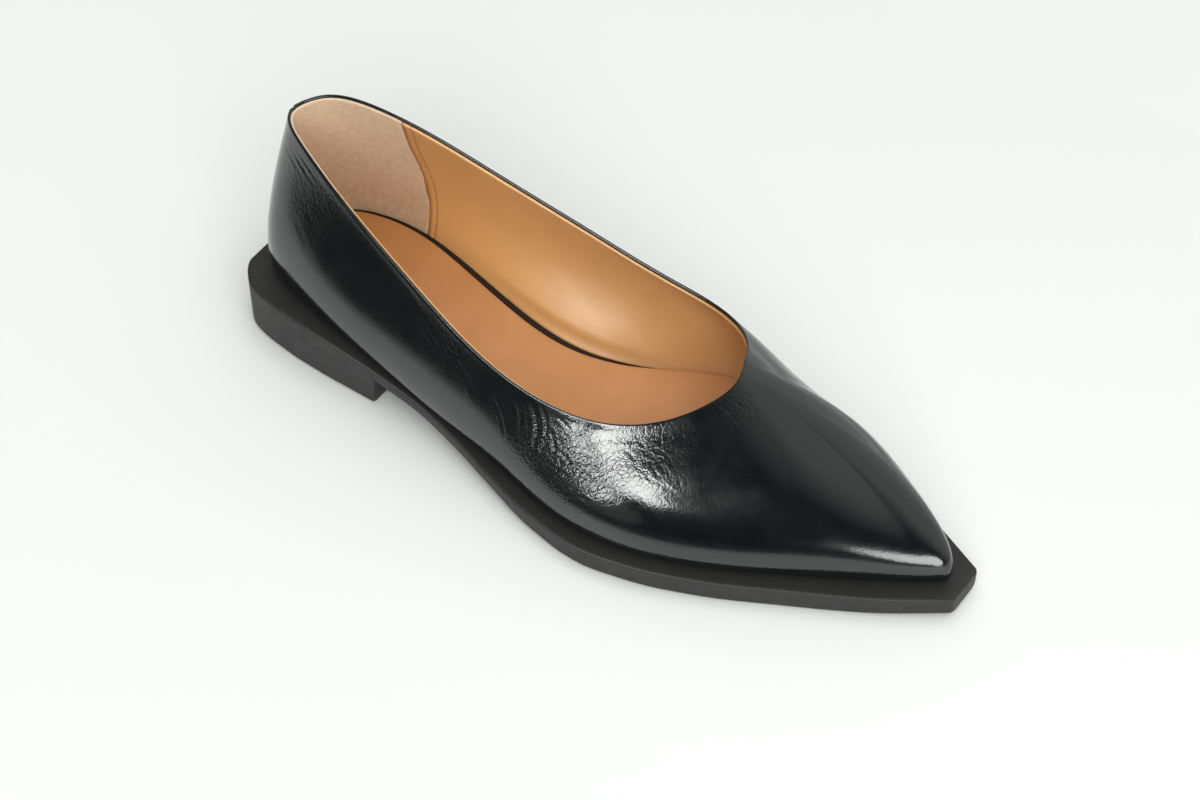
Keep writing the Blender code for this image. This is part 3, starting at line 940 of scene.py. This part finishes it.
def fill(tree, node, *values, **inputs):
    """Gives the inputs of a node their values or links, in order or by name."""
    for socket, value in zip(node.inputs, values):
        put(tree, socket, value)
    for name, value in inputs.items():
        put(tree, node.inputs[name.replace("_", " ")], value)


def add_node(tree, kind, settings=None, **inputs):
    """A node with its settings and the values or links of its inputs."""
    made = tree.nodes.new(kind)
    for name, value in (settings or {}).items():
        setattr(made, name, value)
    fill(tree, made, **inputs)
    return made


def new_material(name, colour, roughness):
    """A material with its tree, its shader and the colour and roughness set."""
    made = bpy.data.materials.new(name)
    made.use_nodes = True
    shader = made.node_tree.nodes["Principled BSDF"]
    fill(made.node_tree, shader, Base_Color=colour, Roughness=roughness)
    return made, made.node_tree, shader


def object_place(tree):
    """Places on the object, in metres."""
    return add_node(tree, "ShaderNodeTexCoord").outputs["Object"]


def place_along(tree, axis):
    """Places along one axis of the object, in metres."""
    return add_node(tree, "ShaderNodeSeparateXYZ", Vector=object_place(tree)).outputs[axis]


def cloudy(tree, per_metre, detail, distortion=0.0):
    """A noise with so many waves to the metre."""
    made = add_node(
        tree, "ShaderNodeTexNoise",
        Vector=object_place(tree), Scale=per_metre, Detail=detail, Distortion=distortion,
    )
    return made.outputs["Fac"]


def ramp(tree, value, low, high, to_low, to_high):
    """A value mapped from one range to another."""
    made = add_node(
        tree, "ShaderNodeMapRange",
        Value=value, From_Min=low, From_Max=high, To_Min=to_low, To_Max=to_high,
    )
    return made.outputs["Result"]


def math_of(tree, operation, *values):
    made = add_node(tree, "ShaderNodeMath", {"operation": operation})
    fill(tree, made, *values)
    return made.outputs["Value"]


def mixed(tree, blend, share, first, second):
    """A colour made of two, by a share."""
    settings = {"data_type": "RGBA", "blend_type": blend}
    return add_node(tree, "ShaderNodeMix", settings, Factor=share, A=first, B=second).outputs["Result"]


def two_tone(tree, share, first, second):
    """A colour between two, by a share."""
    return mixed(tree, "MIX", share, first, second)


def bumped(tree, height, distance, strength, below=None):
    """A bump of the given height in metres, on top of another one."""
    made = add_node(tree, "ShaderNodeBump", Height=height, Distance=distance, Strength=strength)
    if below is not None:
        fill(tree, made, Normal=below)
    return made.outputs["Normal"]


def grained(tree, grain, below=None):
    """A fine bump from its row of values."""
    per_metre, detail, depth, strength = grain
    return bumped(tree, cloudy(tree, per_metre, detail), depth, strength, below)


def number(tree, name):
    """A number that the mesh holds for each of its points."""
    return add_node(tree, "ShaderNodeAttribute", {"attribute_name": name}).outputs["Fac"]


def tape_place(tree, stretch):
    """Places by tape in millimetres, along and down, stretched."""
    place = add_node(tree, "ShaderNodeCombineXYZ", X=number(tree, "along"), Y=number(tree, "down"))
    made = add_node(tree, "ShaderNodeMapping", Vector=place.outputs["Vector"], Scale=stretch)
    return made.outputs["Vector"]


def crackle_lines(tree, cell, width):
    """Fine wrinkles between stretched cells of a size: 0 in a wrinkle, 1 beside it."""
    place = tape_place(tree, CRACKLE_STRETCH)
    wander = add_node(tree, "ShaderNodeTexNoise", Vector=place, Scale=CRACKLE_WANDER_SCALE / cell, Detail=3.0)
    moved = add_node(tree, "ShaderNodeVectorMath", {"operation": "MULTIPLY_ADD"})
    fill(tree, moved, wander.outputs["Color"], [CRACKLE_WANDER * cell] * 3, place)
    cells = add_node(
        tree, "ShaderNodeTexVoronoi", {"feature": "DISTANCE_TO_EDGE"},
        Vector=moved.outputs["Vector"], Scale=1 / cell,
    )
    return ramp(tree, cells.outputs["Distance"], 0.0, width, 0.0, 1.0)


def brushed_lines(tree):
    """Fine lines that run down from the topline, as the leather is drawn over the last."""
    place = tape_place(tree, BRUSH_STRETCH)
    return add_node(tree, "ShaderNodeTexNoise", Vector=place, Scale=1.0, Detail=4.0).outputs["Fac"]


def leather_material():
    """Glossy black leather with a fine grain, crinkled where the mesh says so."""
    made, tree, shader = new_material("black_leather", LEATHER_TONES[1], LEATHER_ROUGHNESS[1])
    fill(tree, shader, IOR=1.6, Coat_Weight=0.45, Coat_Roughness=0.08)
    tone = two_tone(tree, cloudy(tree, per_metre=90, detail=4), *LEATHER_TONES)
    polish = ramp(tree, cloudy(tree, per_metre=140, detail=5), *CLOUD_RANGE, *LEATHER_ROUGHNESS)
    per_metre, depth, strength = LEATHER_PORES
    pores = add_node(tree, "ShaderNodeTexVoronoi", Vector=object_place(tree), Scale=per_metre)
    normal = bumped(tree, pores.outputs["Distance"], depth, strength)
    crinkle = number(tree, "crinkle")
    for size in named(CRACKLE_COLUMNS, CRACKLE):
        lines = crackle_lines(tree, size["cell"], size["width"])
        normal = bumped(tree, math_of(tree, "MULTIPLY", lines, crinkle), size["depth"], 1.0, normal)
    brushed = math_of(tree, "MULTIPLY", brushed_lines(tree), crinkle)
    normal = bumped(tree, brushed, BRUSH_DEPTH, 1.0, normal)
    fill(tree, shader, Base_Color=tone, Roughness=polish, Normal=normal, Coat_Normal=normal)
    return made


def blend_along(tree, axis, run, cloud, weight):
    """A share that grows along an axis between two places, clouded a little."""
    grown = ramp(tree, place_along(tree, axis), *run, 0.0, 1.0 - weight)
    return math_of(tree, "ADD", grown, math_of(tree, "MULTIPLY", cloud, weight))


def smooth_tan(name, tones, run, roughness, slack):
    """Smooth tan leather with a faint grain: material, tree, shader, tone and bump."""
    made, tree, shader = new_material(name, tones[1], roughness)
    cloud = ramp(tree, cloudy(tree, per_metre=60, detail=5), *CLOUD_RANGE, 0, 1)
    # the tone changes along the shoe: painted light and shade on the lining, partly painted shade on the sock
    tone = two_tone(tree, blend_along(tree, "X", run, cloud, weight=0.35), *tones)
    soft = bumped(tree, cloudy(tree, per_metre=110, detail=3), slack, 1.0)
    grain = grained(tree, TAN_GRAIN, soft)
    fill(tree, shader, Base_Color=tone, Normal=grain)
    return made, tree, shader, tone, grain


def lining_material():
    """The lining's tan, lighter at the heel as painted light and darker towards the toe as painted shade,
    with a darker groove of painted shade where it is sewn beside the heel grip.
    """
    made, tree, shader, tone, grain = smooth_tan(
        "tan_lining", LINING_LIT_TO_SHADED_TONES, LINING_SHADE_RUN, roughness=0.44, slack=0.0002
    )
    from_row = math_of(tree, "SUBTRACT", number(tree, "from_grip"), STITCH_SET_BACK)
    groove = ramp(tree, math_of(tree, "ABSOLUTE", from_row), 0.0, SEAM_GROOVE, 0.0, 1.0)
    # the lining's tone, darkened by painted shade in the sewn groove
    tone_with_painted_shade = mixed(tree, "MULTIPLY", 1.0, tone, two_tone(tree, groove, *GROOVE_SHADE_TONES))
    normal = bumped(tree, groove, GROOVE_DEPTH, 1.0, grain)
    fill(tree, shader, IOR=2.0, Base_Color=tone_with_painted_shade, Normal=normal)
    return made


def sock_material():
    # darker towards the heel, partly the sock's own tone and partly painted shade
    return smooth_tan("tan_sock", SOCK_OWN_AND_SHADE_TONES, SOCK_TONE_AND_SHADE_RUN, roughness=0.5, slack=0.0001)[0]


def suede_material():
    """Pinkish tan suede with a short nap, lighter towards the top as painted light."""
    made, tree, shader = new_material("suede", SUEDE_SHADED_TO_LIT_TONES[0], 0.95)
    cloud = ramp(tree, cloudy(tree, per_metre=480, detail=6, distortion=0.4), *CLOUD_RANGE, 0, 1)
    # lighter upwards: painted light
    tone = two_tone(tree, blend_along(tree, "Z", SUEDE_PAINTED_LIGHT_RUN, cloud, weight=0.3), *SUEDE_SHADED_TO_LIT_TONES)
    fill(tree, shader, Sheen_Weight=0.25, Sheen_Roughness=0.5)
    fill(tree, shader, Base_Color=tone, Normal=grained(tree, SUEDE_NAP))
    return made


def board_material():
    made, tree, shader = new_material("dark_board", BOARD_TONE, 0.8)
    fill(tree, shader, Normal=grained(tree, BOARD_GRAIN))
    return made


def thread_material():
    made, tree, shader = new_material("tan_thread", THREAD_TONES[1], 0.7)
    fill(tree, shader, Base_Color=two_tone(tree, cloudy(tree, per_metre=900, detail=2), *THREAD_TONES))
    return made


def rubber_material():
    """Matte black moulded rubber with a fine stipple."""
    made, tree, shader = new_material("black_rubber", RUBBER_TONES[1], RUBBER_ROUGHNESS[1])
    tone = two_tone(tree, cloudy(tree, per_metre=70, detail=5), *RUBBER_TONES)
    dull = ramp(tree, cloudy(tree, per_metre=220, detail=4), *CLOUD_RANGE, *RUBBER_ROUGHNESS)
    fill(tree, shader, Base_Color=tone, Roughness=dull, Normal=grained(tree, RUBBER_STIPPLE))
    return made


def floor_material():
    made, tree, shader = new_material("pale_floor", FLOOR_TONES[1], 0.55)
    fill(tree, shader, Base_Color=two_tone(tree, cloudy(tree, per_metre=3, detail=2), *FLOOR_TONES))
    return made


def flag_material(start, full, strength):
    """A dark card that starts softly."""
    made, tree, shader = new_material("dark_card", CARD_TONE, 0.9)
    fill(tree, shader, Alpha=ramp(tree, place_along(tree, "Y"), start, full, 0.0, strength))
    return made


def direction(azimuth, elevation):
    """Unit vector towards an azimuth from -Y to +X and an elevation, in degrees."""
    a, e = math.radians(azimuth), math.radians(elevation)
    return Vector((math.sin(a) * math.cos(e), -math.cos(a) * math.cos(e), math.sin(e)))


def make_lights():
    """Soft boxes round the shoe, each for gloss or for matte surfaces."""
    for box in named(LIGHT_COLUMNS, LIGHTS):
        lamp = bpy.data.lights.new(box["name"], "AREA")
        lamp.shape = "ELLIPSE"
        lamp.size = box["width"]
        lamp.size_y = box["height"]
        lamp.energy = box["power"]
        lamp.color = LIGHT_TINT
        made = add_object(box["name"], lamp)
        towards = direction(box["azimuth"], box["elevation"])
        made.location = box["distance"] * towards
        made.rotation_euler = towards.to_track_quat("Z", "Y").to_euler()
        made.visible_camera = False
        made.visible_glossy = box["lights"] == "gloss"
        made.visible_diffuse = box["lights"] == "matte"


def make_world():
    """A dark room with a pale wall behind the shoe; the camera itself sees a pale background."""
    world = bpy.data.worlds.new("studio")
    world.use_nodes = True
    tree = world.node_tree
    room = tree.nodes["Background"]
    way = add_node(tree, "ShaderNodeTexCoord").outputs["Generated"]
    facing = add_node(tree, "ShaderNodeVectorMath", {"operation": "DOT_PRODUCT"})
    fill(tree, facing, way, direction(*PALE_SIDE))
    glow = ramp(tree, facing.outputs["Value"], *PALE_SPREAD, DARK_ROOM, PALE_WALL)
    fill(tree, room, Color=(*LIGHT_TINT, 1.0), Strength=glow)
    seen = add_node(tree, "ShaderNodeBackground", Color=CAMERA_BACKGROUND, Strength=1.0)
    by_camera = add_node(tree, "ShaderNodeLightPath").outputs["Is Camera Ray"]
    choice = tree.nodes.new("ShaderNodeMixShader")
    fill(tree, choice, by_camera, room.outputs["Background"], seen.outputs["Background"])
    fill(tree, tree.nodes["World Output"], Surface=choice.outputs["Shader"])
    bpy.context.scene.world = world


def add_plane(name, low, high, z, material):
    """A flat rectangle between two corners."""
    mesh = bpy.data.meshes.new(name)
    corners = [(low[0], low[1], z), (high[0], low[1], z), (high[0], high[1], z), (low[0], high[1], z)]
    mesh.from_pydata(corners, [], [(0, 1, 2, 3)])
    mesh.materials.append(material)
    made = add_object(name, mesh)
    return made


def make_floor():
    """A plain pale floor under the sole, and dark cards that only reflections see."""
    half, ground = FLOOR_SIZE / 2, cad_box[0].z
    add_plane("floor", (-half, -half), (half, half), ground, floor_material())
    for flag in named(FLAG_COLUMNS, FLAGS):
        front, back = sorted((flag["start"], flag["end"]))
        low, high = (-FLAG_HALF_WIDTH, front), (FLAG_HALF_WIDTH, back)
        material = flag_material(flag["start"], flag["full"], flag["strength"])
        card = add_plane(flag["name"], low, high, ground + FLAG_HEIGHT, material)
        card.visible_camera = False
        card.visible_diffuse = False
        card.visible_shadow = False


def make_camera():
    """The photograph's own place and angle, turned to the one shoe."""
    data = bpy.data.cameras.new("camera")
    data.lens = CAMERA_LENS
    data.sensor_width = CAMERA_SENSOR
    made = add_object("camera", data)
    made.location = CAMERA_PLACE
    back = Vector(CAMERA_PLACE) - Vector(CAMERA_AIM)
    made.rotation_euler = back.to_track_quat("Z", "Y").to_euler()
    bpy.context.scene.camera = made


def main():
    make_camera()
    make_lights()
    make_world()
    make_floor()
    make_upper(leather_material())
    make_lining(lining_material())
    make_heel_grip(suede_material())
    make_grip_stitches(thread_material())
    make_insole(board_material(), sock_material())
    make_sole(rubber_material())
    bpy.context.scene.view_settings.view_transform = "Standard"


main()
